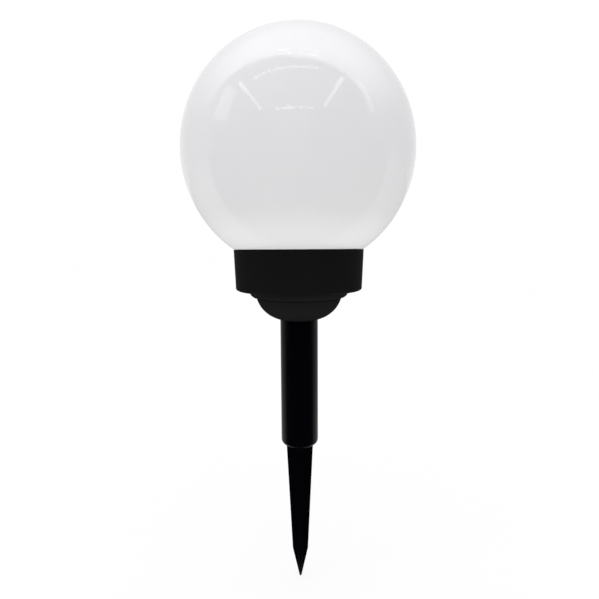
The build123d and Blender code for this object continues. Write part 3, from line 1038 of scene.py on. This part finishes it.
        # the bosses end in the middle of the bowl's wall
        half_way = (skin[0] - self.bowl_wall / 2, skin[1] - self.bowl_wall / 2)
        inside = [(0, high + PAST), (centre[0] + half_way[0], high + PAST)]
        inside += arc(centre, half_way, 0, -90, count=25)
        carve(bosses, turn("inside", inside + [(0, inside[-1][1])]), Carve.KEEP)
        carve(piece, bosses, Carve.ADD)
        bore_low = high - self.screw_bore_depth
        bores = rods("bores", spots, self.screw_bore, bore_low, high + PAST, BORE_TWIST)
        carve(piece, bores, Carve.REMOVE)
        # the bowl's finish is painted lighter than the collar's, for the weaker light it gets
        dress(piece, BOWL_ABS_PAINTED_LIGHTER, Body.HEAD, "black_housing", "bowl")


@dataclass
class SolarTray:
    """What the lifted globe uncovers: tray, seal, solar panel, lamps and screws."""

    seal_box: NodeBox = box_of("globe_seal")
    resin_box: NodeBox = box_of("panel_resin")
    cells_box: NodeBox = box_of("solar_cells")
    lamp_box: NodeBox = box_of("led_left")
    radius: float = 39.913
    low: float = TRAY_UNDER
    high: float = 124.55
    recess_side: float = 44.4
    recess_floor: float = 123.75
    seal_inner: float = 37.363
    seal_edge: float = 0.3
    screw_spot: Point = TRAY_SCREW
    screw_hole: float = SCREW_HOLE
    screw_head: Point = (2.75, 1.7)
    screw_head_round: float = 0.5
    screw_shank: Point = (1.4, 8.0)
    screw_steps: int = 50
    screw_edge: float = 0.07
    cross: Place = (2.75, 0.8, 0.8)
    screw_turns: tuple[float, ...] = (12.0, 57.0, 31.0, 74.0)
    lamp_hole: float = 2.6
    lamp_radius: float = 2.5
    lamp_flange_height: float = 1.0
    lamp_edge: float = 0.12
    cup_drop: float = 0.6
    cup_shift: float = 0.25
    cup_outline: tuple[Point, ...] = (
        (0, 0.5), (0.5, 0.5), (0.95, 0), (1.15, 0), (0.8, 1.1), (0.35, 1.4)
    )
    cup_foot: Point = (0.35, 0.4)
    phosphor_floor: Point = (0.5, 0.48)
    phosphor_crown: Place = (0.86, 0.3, 0.1)
    post_spot: Point = (10.9, 20.6)
    post_radius: float = 2.2
    post_bore: float = 1.05
    post_drop: float = 3.5
    wire_spot: Point = (3.0, 13.0)
    wire_hole: float = 0.85
    strip_count: int = 4
    strip_pitch: float = 10.2
    ribbon_width: float = 1.3
    ribbon_thickness: float = 0.12
    ribbon_overhang: float = 0.6
    resin_corner: float = 1.6
    resin_brow: float = 0.55
    resin_sink: float = 0.05
    edge: float = 0.18

    def build(self) -> None:
        """Model and dress every piece under the globe."""
        self._tray()
        self._seal()
        self._screws()
        self._panel()
        self._lamps()

    def _tray(self) -> None:
        """Turn the disc, add the board's posts, and cut the panel's recess and the holes."""
        outline = [(0, self.low), (self.radius, self.low), (self.radius, self.high), (0, self.high)]
        # two steps more than elsewhere keep its facets off the recess's corners
        piece = turn("panel_plate", outline, steps=TURN_STEPS + 2)
        posts = self._pair(self.post_spot)
        under = self.low - self.post_drop
        carve(piece, rods("posts", posts, self.post_radius, under, self.low + ROOT), Carve.ADD)
        side = self.recess_side / 2
        recess = block("recess", (-side, -side, self.recess_floor), (side, side, self.high + PAST))
        carve(piece, recess, Carve.REMOVE)
        bores = rods("post_bores", posts, self.post_bore, under - PAST, self.low, BORE_TWIST)
        carve(piece, bores, Carve.REMOVE)
        spots = [(x, y * way) for x, y in self._pair(self.screw_spot) for way in (1, -1)]
        for name, places, radius in (
            ("screw_holes", spots, self.screw_hole),
            ("lamp_holes", self._lamp_spots, self.lamp_hole),
            ("wire_holes", self._pair(self.wire_spot), self.wire_hole),
        ):
            carve(piece, rods(name, places, radius, self.low - PAST, self.high + PAST), Carve.REMOVE)
        ease(piece, self.edge)
        dress(piece, TRAY_ABS, Body.HEAD, "tray_plastic", "panel_tray")

    def _pair(self, spot: Point) -> list[Point]:
        """A spot and its mirror image, left and right."""
        return [(-spot[0], spot[1]), spot]

    @property
    def _lamp_spots(self) -> list[Point]:
        """Where the two lamps stand."""
        return self._pair((-self.lamp_box.middle.x, self.lamp_box.middle.y))

    def _seal(self) -> None:
        """Turn the rubber ring with rounded corners."""
        corner = self.seal_edge
        low, high = self.seal_box.low.z + corner, self.seal_box.high.z - corner
        inner, outer = self.seal_inner + corner, self.seal_box.radius - corner
        outline = []
        for i, centre in enumerate(((outer, low), (outer, high), (inner, high), (inner, low))):
            outline += arc(centre, (corner, corner), 90 * i - 90, 90 * i, count=4)
        piece = turn("seal_ring", outline, closed=True)
        dress(piece, SEAL_EPDM, Body.SEAL, "seal_rubber", "globe_seal")

    def _screws(self) -> None:
        """Model one pan-head screw with a cross recess, and copy it to the four corners."""
        head, height = self.screw_head
        shank, length = self.screw_shank
        corner = self.screw_head_round
        outline = [(0, height)]
        outline += arc((head - corner, height - corner), (corner, corner), 90, 0, count=5)
        outline += [(head, 0), (shank, 0), (shank, -length + shank / 2)]
        outline += [(shank / 2, -length), (0, -length)]
        # the number of steps keeps the head's facets off the cross's corners
        model = turn("screw", outline, steps=self.screw_steps)
        span, width, depth = self.cross
        half = width / 2
        cross = block("cross", (-half, -half, height - depth), (half, half, height + PAST))
        edit(cross)
        pick_faces(cross, lambda middle, normal: round(normal.z) == 0)
        arm = (span - width) / 2 * MM
        bpy.ops.mesh.extrude_faces_move(TRANSFORM_OT_shrink_fatten={"value": arm})
        take(cross)
        carve(model, cross, Carve.REMOVE)
        ease(model, self.screw_edge, angle=50)
        spots = [(x, y * way, self.high) for x, y in self._pair(self.screw_spot) for way in (1, -1)]
        piece = copies("pan_screws", model, spots, self.screw_turns)
        dress(piece, ZINC_STEEL, Body.HEAD, "screw_steel", "tray_screws")

    def _panel(self) -> None:
        """Dress board and strips, solder ribbons on the strips and pour the resin over them."""
        dress_node("panel_board", PANEL_LAMINATE)
        dress_node("solar_cells", SILICON)
        top = self.cells_box.high.z
        end = self.cells_box.high.y + self.ribbon_overhang
        half = self.ribbon_width / 2
        brow = top + self.ribbon_thickness
        ribbon = block("ribbon", (-half, -end, top), (half, end, brow))
        link = block("link", (-half, end - half, top), (self.strip_pitch + half, end + half, brow))
        for strap in (ribbon, link):
            ease(strap, self.ribbon_thickness / 3)
        columns = [self.strip_pitch * (i - (self.strip_count - 1) / 2) for i in range(self.strip_count)]
        ribbons = copies("ribbons", ribbon, [(x, 0, 0) for x in columns])
        # the links join the strips in a row, behind and in front by turns
        ends = [(x, -2 * end * (i % 2), 0) for i, x in enumerate(columns[:-1])]
        links = copies("links", link, ends)
        piece = joined("cell_ribbons", [ribbons, links])
        dress(piece, TINNED_COPPER, Body.HEAD, "tinned_wire")
        low, high = self.resin_box.low, self.resin_box.high
        # the foot reaches into the board, so that no two faces lie in one plane
        resin = block("poured_resin", (low.x, low.y, low.z - self.resin_sink), high)
        round_edges(resin, self.resin_corner, lambda a, b: abs(a.z - b.z) > NEAR, segments=6)
        round_edges(resin, self.resin_brow, lambda a, b: min(a.z, b.z) > high.z - NEAR, segments=4)
        dress(resin, PANEL_RESIN, Body.HEAD, "clear_resin", "panel_resin")

    def _lamps(self) -> None:
        """Model one lamp, its lens, cup and phosphor, and copy it to both places."""
        radius = self.lamp_radius
        flange = self.lamp_box.radius
        low, high = self.lamp_box.low.z, self.lamp_box.high.z
        dome = high - radius
        outline = [(0, low), (flange, low), (flange, low + self.lamp_flange_height)]
        outline += [(radius, low + self.lamp_flange_height)]
        outline += arc((0, dome), (radius, radius), 0, 90, count=14)
        model = turn("lens", outline, steps=2 * ROD_STEPS)
        ease(model, self.lamp_edge, angle=60)
        for spot, node in zip(self._lamp_spots, ("led_left", "led_right")):
            take(model)
            bpy.ops.object.duplicate(linked=False)
            lens = bpy.context.object
            lens.name = node.replace("led", "lamp_lens")
            lens.location = metres((spot[0], spot[1], 0))
            settle(lens)
            dress(lens, LAMP_EPOXY, Body.HEAD, "lamp_lens", node)
        bpy.data.objects.remove(model)
        cup_top = dome - self.cup_drop
        places = [(x - self.cup_shift, y, 0) for x, y in self._lamp_spots]
        post, foot = self.cup_foot
        cup = [(out, cup_top - down) for out, down in self.cup_outline]
        cup += [(post, low + foot), (0, low + foot)]
        cups = copies("lamp_cups", turn("cup", cup, steps=ROD_STEPS), places)
        dress(cups, TINNED_COPPER, Body.HEAD, "tinned_wire")
        width, down = self.phosphor_floor
        drop = [(0, cup_top - down), (width, cup_top - down)]
        crown_width, crown_height, down = self.phosphor_crown
        drop += arc((0, cup_top - down), (crown_width, crown_height), 0, 90, count=6)
        dots = copies("lamp_phosphor", turn("dot", drop, steps=ROD_STEPS), places)
        dress(dots, PHOSPHOR, Body.HEAD, "lamp_lens")
        dress_node("led_leads", TINNED_COPPER)


@dataclass
class PowerPack:
    """What the sealed housing holds: it keeps the solids' shapes and gets its real finishes."""

    finishes: tuple[tuple[Finish, tuple[str, ...]], ...] = (
        (ZINC_STEEL, ("housing_screws", "board_screws")),
        (BOARD_LAMINATE, ("circuit_board",)),
        (CHIP_EPOXY, ("driver_chip",)),
        (COIL_LACQUER, ("inductor",)),
        (TRAY_ABS, ("battery_holder",)),
        (NICKEL_STEEL, ("battery_can", "contact_positive", "contact_negative")),
        (SLEEVE_PVC, ("battery_sleeve",)),
        (TINNED_COPPER, ("switch_body",)),
        (BLACK_PVC, ("wire_panel_negative", "wire_battery_negative")),
        (RED_PVC, ("wire_panel_positive", "wire_battery_positive")),
        (WHITE_PVC, ("wire_switch_left", "wire_switch_right")),
    )

    def build(self) -> None:
        """Dress every hidden node."""
        for finish, nodes in self.finishes:
            for node in nodes:
                dress_node(node, finish)


@dataclass
class SlideSwitch:
    """The knob of the switch under the collar, with grip ribs across its end."""

    box: NodeBox = box_of("switch_knob")
    stem: Point = (2.4, 1.6)
    flange_height: float = 0.8
    end_round: float = 0.3
    groove: Point = (0.32, 0.28)
    groove_count: int = 3
    groove_pitch: float = 0.62
    edge: float = 0.06

    def build(self) -> None:
        """Model and dress the knob."""
        low, high = self.box.low, self.box.high
        middle = self.box.middle
        length, depth = self.stem
        knob = block(
            "switch_button",
            (middle.x - length / 2, middle.y - depth / 2, low.z),
            (middle.x + length / 2, middle.y + depth / 2, high.z - self.flange_height / 2),
        )
        round_edges(knob, self.end_round, lambda a, b: max(a.z, b.z) < low.z + NEAR, segments=4)
        width, cut = self.groove
        first = middle.x - self.groove_pitch * (self.groove_count - 1) / 2
        for x in (first + self.groove_pitch * i for i in range(self.groove_count)):
            start = (x - width / 2, low.y - PAST, low.z - PAST)
            groove = block("groove", start, (x + width / 2, high.y + PAST, low.z + cut))
            carve(knob, groove, Carve.REMOVE)
        flange = block("flange", (low.x, low.y, high.z - self.flange_height), high)
        carve(knob, flange, Carve.ADD)
        ease(knob, self.edge)
        dress(knob, KNOB_ABS, Body.SWITCH, "knob_black", "switch_knob")


@dataclass
class Stake:
    """The round tube and the finned spike that plugs into it."""

    tube_box: NodeBox = box_of("stake_tube")
    spike_box: NodeBox = box_of("ground_spike")
    bowl_box: NodeBox = box_of("bowl")
    tube_wall: float = 2.5
    rim_round: float = 3.4
    end_block: float = 24.0
    plug_radius: float = 7.4
    plug_lead: float = 1.2
    push_fit: float = 0.05
    spigot_step: float = 1.0
    spigot_lead: float = 0.6
    point_length: float = 22.0
    point_width: float = 11.1
    tip_width: float = 1.4
    fin_thickness: float = 2.4
    fin_root_round: float = 0.9
    fin_cut_top: float = 0.3
    spike_steps: int = 48
    edge: float = 0.25

    def build(self) -> None:
        """Model and dress tube and spike."""
        self._tube()
        self._spike()

    def _tube(self) -> None:
        """Turn the tube with its rounded rim, thick end and stepped spigot."""
        radius = self.tube_box.radius
        low, top = self.tube_box.low.z, self.tube_box.high.z
        spigot = radius - self.spigot_step
        bore = radius - self.tube_wall
        hole = self.plug_radius + self.push_fit
        corner = self.rim_round
        outline = [(hole, low)]
        outline += arc((radius - corner, low + corner), (corner, corner), -90, 0, count=12)
        shoulder = self.bowl_box.low.z
        outline += [(radius, shoulder), (spigot, shoulder), (spigot, top - self.spigot_lead)]
        outline += [(spigot - self.spigot_lead, top), (bore, top)]
        outline += [(bore, low + self.end_block), (hole, low + self.end_block)]
        piece = turn("stake_pipe", outline, closed=True)
        ease(piece, self.edge / 2)
        dress(piece, STAKE_PP, Body.TUBE, "black_stake", "stake_tube")

    def _spike(self) -> None:
        """Turn a pencil with a plug and cut its four quarters away to leave the fins."""
        low, top = self.spike_box.low.z, self.spike_box.high.z
        width = self.spike_box.radius
        plug, lead = self.plug_radius, self.plug_lead
        outline = [(0, top), (plug - lead, top), (plug, top - lead), (plug, 0), (width, 0)]
        outline += [(self.point_width / 2, low + self.point_length)]
        outline += [(self.tip_width / 2, low), (0, low)]
        piece = turn("finned_spike", outline, steps=self.spike_steps)
        half = self.fin_thickness / 2
        far = 2 * width
        quarter = block("quarter", (half, half, low - far), (far, far, self.fin_cut_top))
        root = half + NEAR
        round_edges(
            quarter, self.fin_root_round, lambda a, b: max(a.x, a.y, b.x, b.y) < root, segments=5
        )
        quarters = copies("quarters", quarter, [(0, 0, 0)] * 4, (0, 90, 180, 270))
        carve(piece, quarters, Carve.REMOVE)
        ease(piece, self.edge, angle=35)
        dress(piece, STAKE_PP, Body.SPIKE, "black_stake", "ground_spike")


# Studio


@dataclass(frozen=True)
class LightPanel:
    """A flat light: where it hangs and its size in metres, how bright it looks, its turn in degrees."""

    name: str
    middle: Place
    size: Point
    radiance: float
    turned: Place = (0.0, 0.0, 0.0)

    def hang(self) -> None:
        """Make the light, out of the camera's sight."""
        data = bpy.data.lights.new(self.name, "AREA")
        data.shape = "RECTANGLE"
        data.size, data.size_y = self.size
        # an area light looks as bright as its watts over four times its area
        data.energy = 4 * self.size[0] * self.size[1] * self.radiance
        light = bpy.data.objects.new(self.name, data)
        light.location = self.middle
        light.rotation_euler = [math.radians(angle) for angle in self.turned]
        light.visible_camera = False
        bpy.context.scene.collection.objects.link(light)


@dataclass
class Studio:
    """White sweep in a soft light tent, a frame of strip lights at its front, and the camera.

    Lengths here are metres. The fields roof_mirror, wall_mirror and floor_mirror list (place or
    direction along Y, brightness): what glossy surfaces see of roof, walls and floor, from the dark
    room in front to the white back. The roof fades into the walls over mirror_rise, a range of the
    direction's Z, and ends in front over mirror_edge, a range of its Y, which mirror_bend draws back
    on the left.
    """

    camera_place: Place = (0.00055, -0.2975, 0.13525)
    camera_pitch: float = 6.5
    camera_roll: float = 0.33
    focal_pixels: float = 440.0
    floor_radius: float = 40.0
    floor_reach: float = 0.6
    floor_glow: float = 0.79
    floor_shed: float = 0.76
    floor_paint: str = "#7C7C7C"
    sky_base: float = 0.29
    sky_slope: Place = (-0.07, -0.04, 1.17)
    sky_tint: str = "#FAFAFD"
    mirror_scale: float = 2.5
    mirror_rise: Point = (0.35, 0.95)
    mirror_edge: Point = (-0.30, -0.22)
    mirror_bend: float = 0.4
    roof_mirror: tuple[Point, ...] = (
        (-0.30, 2.2), (0.0, 2.15), (0.20, 1.75), (0.42, 1.3), (0.55, 1.05), (1.0, 0.95)
    )
    wall_mirror: tuple[Point, ...] = (
        (-0.50, 0.01), (-0.28, 0.08), (0.0, 0.35), (0.34, 0.5), (0.55, 0.6), (0.80, 0.85), (1.0, 0.95)
    )
    floor_mirror: tuple[Point, ...] = (
        (-0.60, 0.02), (-0.20, 0.03), (-0.01, 0.05), (0.03, 0.65), (0.60, 0.6)
    )
    panels: tuple[LightPanel, ...] = (
        LightPanel("strip_left", (-0.51, -0.58, 0.7), (0.03, 0.75), 2.0, (0, 0, -9.2)),
        LightPanel("strip_right", (0.363, -0.565, 0.7), (0.042, 0.60), 1.84, (0, 0, 4.4)),
        LightPanel("strip_back", (-0.10, -0.29, 0.7), (0.486, 0.021), 1.72),
        LightPanel("strip_front", (-0.05, -1.0, 0.7), (0.58, 0.054), 3.0),
        LightPanel("wall_right", (0.47, -0.19, 0.56), (0.30, 0.06), 0.72, (0, 90, 0)),
        LightPanel("wall_left", (-0.47, -0.18, 0.50), (0.26, 0.15), 0.8, (0, -90, 0)),
        LightPanel("wall_heart", (-0.47, -0.165, 0.52), (0.16, 0.045), 2.0, (0, -90, 0)),
        LightPanel("seam_near", (-0.07, -0.145, 0.7), (0.42, 0.009), 1.52, (0, 0, -4.0)),
        LightPanel("seam_far", (0.03, -0.105, 0.7), (0.26, 0.009), 1.52),
    )

    def build(self) -> None:
        """Set up camera, lights, floor and world."""
        self._camera()
        for panel in self.panels:
            panel.hang()
        self._floor()
        self._world()
        bpy.context.scene.view_settings.view_transform = "Standard"

    def _camera(self) -> None:
        """Stand the camera where the photograph was taken from."""
        data = bpy.data.cameras.new("camera")
        data.sensor_width = SENSOR_WIDTH
        data.lens = SENSOR_WIDTH * self.focal_pixels / PHOTO_SIDE
        camera = bpy.data.objects.new("camera", data)
        camera.location = self.camera_place
        camera.rotation_euler.x = math.radians(90 - self.camera_pitch)
        camera.rotation_euler.y = math.radians(self.camera_roll)
        bpy.context.scene.collection.objects.link(camera)
        bpy.context.scene.camera = camera

    def _ramp(self, tree: Tree, along: Socket, reach: float, stops: Sequence[Point]) -> Socket:
        """Brightness along Y as a grey, scaled down so that it stays under white.

        Args:
            tree: the nodes of floor or world.
            along: the Y coordinate.
            reach: the ramp goes from minus this to plus this.
            stops: (coordinate, brightness) pairs.

        Returns:
            The grey's socket.
        """
        share = add_node(tree, "MapRange", {"Value": along, "From Min": -reach, "From Max": reach})
        ramp = add_node(tree, "ValToRGB", {"Fac": share.outputs["Result"]})
        elements = ramp.color_ramp.elements
        while len(elements) < len(stops):
            elements.new(0.5)
        for element, (coordinate, brightness) in zip(elements, stops):
            grey = brightness / self.mirror_scale
            element.position = (coordinate + reach) / (2 * reach)
            element.color = (grey, grey, grey, 1.0)
        return ramp.outputs["Color"]

    def _floor(self) -> None:
        """Lay a white floor under the spike's tip, which keeps the object's soft shadow."""
        take()
        bpy.ops.mesh.primitive_circle_add(
            vertices=96, radius=self.floor_radius, fill_type="NGON", location=(0, 0, CAD_BOX[0].z)
        )
        floor = bpy.context.object
        floor.name = "floor"
        material = bpy.data.materials.new("white_floor")
        material.use_nodes = True
        tree = material.node_tree
        tree.nodes.clear()
        place = add_node(tree, "TexCoord").outputs["Object"]
        axes = add_node(tree, "SeparateXYZ", {"Vector": place})
        grey = self._ramp(tree, axes.outputs["Y"], self.floor_reach, self.floor_mirror)
        path = add_node(tree, "LightPath")
        seen, glossy = (path.outputs[ray.value] for ray in (Ray.CAMERA, Ray.GLOSSY))
        settings = {"Value": seen, "To Min": self.floor_shed, "To Max": self.floor_glow}
        level = add_node(tree, "MapRange", settings)
        glow = add_node(tree, "Emission", {"Color": linear(WHITE), "Strength": level.outputs["Result"]})
        mirrored = add_node(tree, "Emission", {"Color": grey, "Strength": self.mirror_scale})
        paint = add_node(tree, "BsdfDiffuse", {"Color": linear(self.floor_paint)})
        lit = add_node(tree, "AddShader", {0: glow.outputs[0], 1: paint.outputs[0]})
        shown = add_node(tree, "MixShader", {0: glossy, 1: lit.outputs[0], 2: mirrored.outputs[0]})
        add_node(tree, "OutputMaterial", {"Surface": shown.outputs[0]})
        floor.data.materials.append(material)

    def _world(self) -> None:
        """White where it is seen, a tent with a dark front in reflections, soft as light."""
        world = bpy.data.worlds.new("studio")
        bpy.context.scene.world = world
        world.use_nodes = True
        tree = world.node_tree
        tree.nodes.clear()
        path = add_node(tree, "LightPath")
        place = add_node(tree, "TexCoord").outputs["Generated"]
        axes = add_node(tree, "SeparateXYZ", {"Vector": place}).outputs
        left = add_node(tree, "Math", {"operation": "MINIMUM", 0: axes["X"], 1: 0.0}).outputs[0]
        settings = {"operation": "MULTIPLY_ADD", 0: left, 1: self.mirror_bend, 2: axes["Y"]}
        bent = add_node(tree, "Math", settings).outputs[0]
        fades = []
        for value, (start, end) in ((axes["Z"], self.mirror_rise), (bent, self.mirror_edge)):
            settings = {"interpolation_type": "SMOOTHSTEP", "Value": value}
            settings |= {"From Min": start, "From Max": end}
            fades.append(add_node(tree, "MapRange", settings).outputs["Result"])
        share = add_node(tree, "Math", {"operation": "MULTIPLY", 0: fades[0], 1: fades[1]}).outputs[0]
        wall = self._ramp(tree, axes["Y"], 1.0, self.wall_mirror)
        roof = self._ramp(tree, axes["Y"], 1.0, self.roof_mirror)
        settings = {"data_type": "RGBA", MIX_SHARE: share, MIX_UNDER: wall, MIX_OVER: roof}
        tent = add_node(tree, "Mix", settings).outputs[MIX_RESULT]
        slope = add_node(tree, "VectorMath", {"operation": "DOT_PRODUCT", 0: place, 1: self.sky_slope})
        settings = {"operation": "ADD", 0: slope.outputs["Value"], 1: self.sky_base}
        height = add_node(tree, "Math", settings).outputs[0]
        seen = add_node(tree, "Background", {"Color": linear(WHITE), "Strength": 1.0})
        mirrored = add_node(tree, "Background", {"Color": tent, "Strength": self.mirror_scale})
        shown = add_node(tree, "Background", {"Color": linear(self.sky_tint), "Strength": height})
        for ray, look in ((Ray.GLOSSY, mirrored), (Ray.TRANSMISSION, seen), (Ray.CAMERA, seen)):
            settings = {0: path.outputs[ray.value], 1: shown.outputs[0], 2: look.outputs[0]}
            shown = add_node(tree, "MixShader", settings)
        add_node(tree, "OutputWorld", {"Surface": shown.outputs[0]})


def main() -> None:
    """Build the studio and every sub-assembly."""
    logging.basicConfig(level=logging.INFO, format="%(name)s %(message)s")
    for part in (Studio(), Globe(), Housing(), SolarTray(), PowerPack(), SlideSwitch(), Stake()):
        part.build()


if __name__ == "__main__":
    main()
